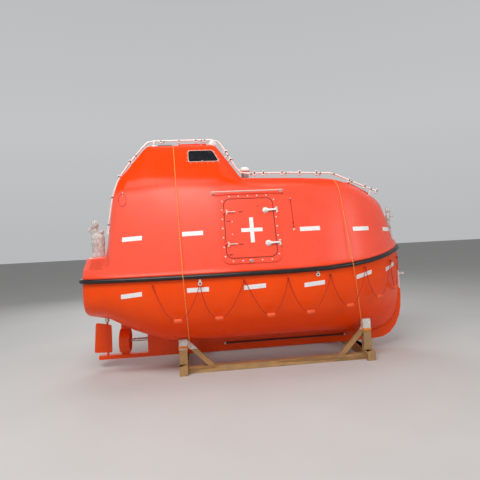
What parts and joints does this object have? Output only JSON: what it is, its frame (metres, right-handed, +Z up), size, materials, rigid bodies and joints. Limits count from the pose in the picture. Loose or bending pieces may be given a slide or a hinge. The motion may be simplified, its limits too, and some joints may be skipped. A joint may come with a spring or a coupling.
{
  "type": "totally enclosed lifeboat in a timber cradle",
  "caption": "Totally enclosed davit lifeboat with side doors, hatches, conning tower, spray pipe, rudder and guarded propeller, standing in a timber cradle.",
  "frame": {"origin": "on the floor under the middle of the boat's overall length and breadth", "axes": "+X to the bow, +Y to port, +Z up"},
  "size_m": [5.132, 2.304, 3.4643],
  "materials": {
    "hull_grp": "gloss gelcoat",
    "canopy_grp": "gloss gelcoat",
    "fender_rubber": "satin",
    "stainless": "brushed",
    "white_metal": "gloss",
    "window_glass": "polished",
    "liner": "satin",
    "engine_paint": "satin",
    "seat": "matte",
    "bronze": "satin",
    "timber": "rough sawn",
    "wrap_film": "crumpled film",
    "lifeline_rope": "laid rope",
    "dark_metal": "satin"
  },
  "bodies": {
    "boat": {"hull_shell": "hull_grp", "keel": "hull_grp", "fender": "fender_rubber", "canopy": "canopy_grp", "door_frame_stbd": "canopy_grp", "handrail_stbd": "white_metal", "window_stbd": "window_glass", "door_frame_port": "canopy_grp", "handrail_port": "white_metal", "window_port": "window_glass", "window_front": "window_glass", "window_back": "window_glass", "coaming_fore": "canopy_grp", "coaming_aft": "canopy_grp", "coaming_top": "canopy_grp", "spray_pipe": "white_metal", "hook_aft": "wrap_film", "hook_fore": "wrap_film", "ventilator": "white_metal", "position_lamp": "white_metal", "lamp_socket": "white_metal", "painter_release": "stainless", "propeller_guard": "hull_grp", "stern_tube": "stainless", "rudder_bearing": "stainless", "keel_rail_stbd": "dark_metal", "keel_rail_port": "dark_metal", "cabin_floor": "liner", "bench_stbd": "liner", "bench_port": "liner", "engine": "engine_paint", "helm_seat": "seat", "helm_console": "engine_paint", "lifeline_stbd": "lifeline_rope", "lifeline_port": "lifeline_rope", "tether_eye": "stainless", "loop_eye": "stainless", "tether_line": "lifeline_rope", "line_loop": "lifeline_rope", "cradle_aft": "timber", "cradle_fore": "timber", "cradle_skid_stbd": "timber", "cradle_skid_port": "timber"},
    "side_door_stbd": {"door_stbd": "canopy_grp", "door_handle_upper_stbd": "white_metal", "door_handle_lower_stbd": "white_metal"},
    "side_door_port": {"door_port": "canopy_grp", "door_handle_upper_port": "white_metal", "door_handle_lower_port": "white_metal"},
    "fore_lid": {"hatch_fore": "canopy_grp"},
    "aft_lid": {"hatch_aft": "canopy_grp"},
    "top_lid": {"hatch_top": "canopy_grp"},
    "screw": {"propeller": "bronze"},
    "helm_blade": {"rudder": "hull_grp"}
  },
  "joints": [
    {"name": "door_stbd_hinge", "type": "hinge", "parent": "boat", "child": "side_door_stbd", "pos_m": [-0.484, -0.95911, 2.03166], "axis": [0, -0.2468, -0.9691], "range_deg": [0, 150]},
    {"name": "door_port_hinge", "type": "hinge", "parent": "boat", "child": "side_door_port", "pos_m": [-0.484, 0.95911, 2.03166], "axis": [0, -0.2468, 0.9691], "range_deg": [0, 150]},
    {"name": "fore_lid_hinge", "type": "hinge", "parent": "boat", "child": "fore_lid", "pos_m": [1.6069, 0.02, 2.71696], "axis": [0, -1, 0], "range_deg": [0, 110]},
    {"name": "aft_lid_hinge", "type": "hinge", "parent": "boat", "child": "aft_lid", "pos_m": [-2.09671, 0.3, 2.46951], "axis": [0, 1, 0], "range_deg": [0, 110]},
    {"name": "top_lid_hinge", "type": "hinge", "parent": "boat", "child": "top_lid", "pos_m": [-1.121, 0.07, 3.409], "axis": [0, -1, 0], "range_deg": [0, 110]},
    {"name": "propeller_spin", "type": "hinge", "parent": "boat", "child": "screw", "pos_m": [-2.03, 0, 0.392], "axis": [1, 0, 0], "continuous": true},
    {"name": "rudder_turn", "type": "hinge", "parent": "boat", "child": "helm_blade", "pos_m": [-2.3, 0, 0.4], "axis": [0, 0, 1], "range_deg": [-35, 35]}
  ]
}
